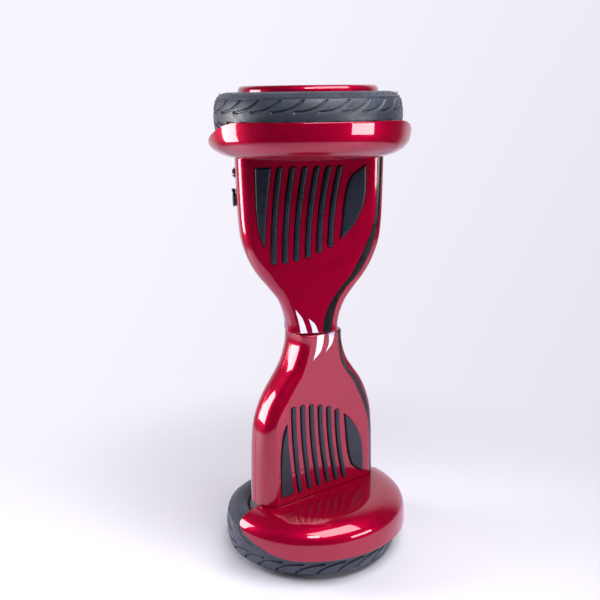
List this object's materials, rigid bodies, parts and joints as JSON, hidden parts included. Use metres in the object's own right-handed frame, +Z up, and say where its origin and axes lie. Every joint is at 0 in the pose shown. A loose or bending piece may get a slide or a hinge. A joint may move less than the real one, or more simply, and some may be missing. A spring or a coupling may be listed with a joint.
{
  "type": "self balancing hoverboard",
  "caption": "Self balancing hoverboard with red gloss shells, ribbed foot pads, arched fenders and hub-motor wheels, standing on end with its waist twisted.",
  "frame": {"origin": "centre of the right wheel's hub cap face, which the board stands on, on the common axis of both wheels and of the waist", "axes": "+Z up along that axis from the right wheel to the left wheel; on the right (lower) half +X is forward and -Y is the foot side; the left (upper) half is stored twisted 28 degrees about +Z from aligned, so joint value +28 degrees of waist_twist is the level riding pose"},
  "size_m": [0.2771, 0.2663, 0.67],
  "materials": {
    "red_gloss": "candy red lacquer, high gloss",
    "black_gloss": "black, high gloss",
    "pad_rubber": "satin moulded rubber",
    "circuit_board": "solder-masked board",
    "axle_steel": "ground steel",
    "screw_steel": "zinc plated",
    "cast_aluminium": "as cast",
    "core_steel": "laminated",
    "copper_wire": "enamelled copper",
    "cable_black": "matt sleeve",
    "tyre_rubber": "satin black rubber",
    "tube_rubber": "matt",
    "rim_black": "black enamel",
    "magnet": "nickel plated",
    "bearing_steel": "polished",
    "bronze": "sintered",
    "washer_plastic": "acetal",
    "seal_rubber": "matt",
    "battery_wrap": "shrink film",
    "heat_sink": "extruded",
    "fitting_black": "fine grain",
    "button_metal": "plated"
  },
  "bodies": {
    "right_half": {"right_chassis": "cast_aluminium", "right_top_cover": "red_gloss", "right_bottom_cover": "red_gloss", "right_front_trim": "black_gloss", "right_fender": "red_gloss", "right_sensor_board": "circuit_board", "right_axle": "axle_steel", "right_axle_clamp": "cast_aluminium", "right_clamp_bolts": "screw_steel", "right_cover_screws": "screw_steel", "right_stator_core": "core_steel", "right_stator_windings": "copper_wire", "right_motor_cable": "cable_black", "twist_shaft": "axle_steel", "thrust_washer": "washer_plastic", "retaining_ring": "screw_steel", "limit_pin": "axle_steel", "waist_seal": "seal_rubber", "link_cable": "cable_black", "battery_pack": "battery_wrap"},
    "left_half": {"left_chassis": "cast_aluminium", "left_top_cover": "red_gloss", "left_bottom_cover": "red_gloss", "left_front_trim": "black_gloss", "left_fender": "red_gloss", "left_sensor_board": "circuit_board", "left_axle": "axle_steel", "left_axle_clamp": "cast_aluminium", "left_clamp_bolts": "screw_steel", "left_cover_screws": "screw_steel", "left_stator_core": "core_steel", "left_stator_windings": "copper_wire", "left_motor_cable": "cable_black", "twist_bushes": "bronze", "main_board": "circuit_board", "heat_sink": "heat_sink", "power_switch": "fitting_black", "charge_port": "fitting_black"},
    "right_wheel": {"right_tyre": "tyre_rubber", "right_inner_tube": "tube_rubber", "right_rim": "rim_black", "right_magnet_ring": "magnet", "right_motor_inner_cover": "rim_black", "right_motor_outer_cover": "cast_aluminium", "right_wheel_bearings": "bearing_steel", "right_hub_cap": "red_gloss", "right_hub_screws": "screw_steel"},
    "left_wheel": {"left_tyre": "tyre_rubber", "left_inner_tube": "tube_rubber", "left_rim": "rim_black", "left_magnet_ring": "magnet", "left_motor_inner_cover": "rim_black", "left_motor_outer_cover": "cast_aluminium", "left_wheel_bearings": "bearing_steel", "left_hub_cap": "red_gloss", "left_hub_screws": "screw_steel"},
    "right_pad": {"right_foot_pad": "pad_rubber"},
    "left_pad": {"left_foot_pad": "pad_rubber"},
    "button": {"power_button": "button_metal"},
    "cap": {"port_cap": "seal_rubber"}
  },
  "joints": [
    {"name": "waist_twist", "type": "hinge", "parent": "right_half", "child": "left_half", "pos_m": [0, 0, 0.335], "axis": [0, 0, 1], "range_deg": [-2, 58]},
    {"name": "right_wheel_spin", "type": "hinge", "parent": "right_half", "child": "right_wheel", "pos_m": [0, 0, 0.039], "axis": [0, 0, 1], "continuous": true},
    {"name": "left_wheel_spin", "type": "hinge", "parent": "left_half", "child": "left_wheel", "pos_m": [0, 0, 0.631], "axis": [0, 0, 1], "continuous": true},
    {"name": "right_pad_press", "type": "slide", "parent": "right_half", "child": "right_pad", "axis": [0, 1, 0], "range_m": [0, 0.0015], "stiffness_N_per_m": 8000},
    {"name": "left_pad_press", "type": "slide", "parent": "left_half", "child": "left_pad", "axis": [0.4695, 0.8829, 0], "range_m": [0, 0.0015], "stiffness_N_per_m": 8000},
    {"name": "power_button_press", "type": "slide", "parent": "left_half", "child": "button", "axis": [0.8829, -0.4695, 0], "range_m": [0, 0.0015], "stiffness_N_per_m": 2000},
    {"name": "port_cap_hinge", "type": "hinge", "parent": "left_half", "child": "cap", "pos_m": [-0.08578, 0.05807, 0.532], "axis": [0.4695, 0.8829, 0], "range_deg": [0, 150]}
  ]
}
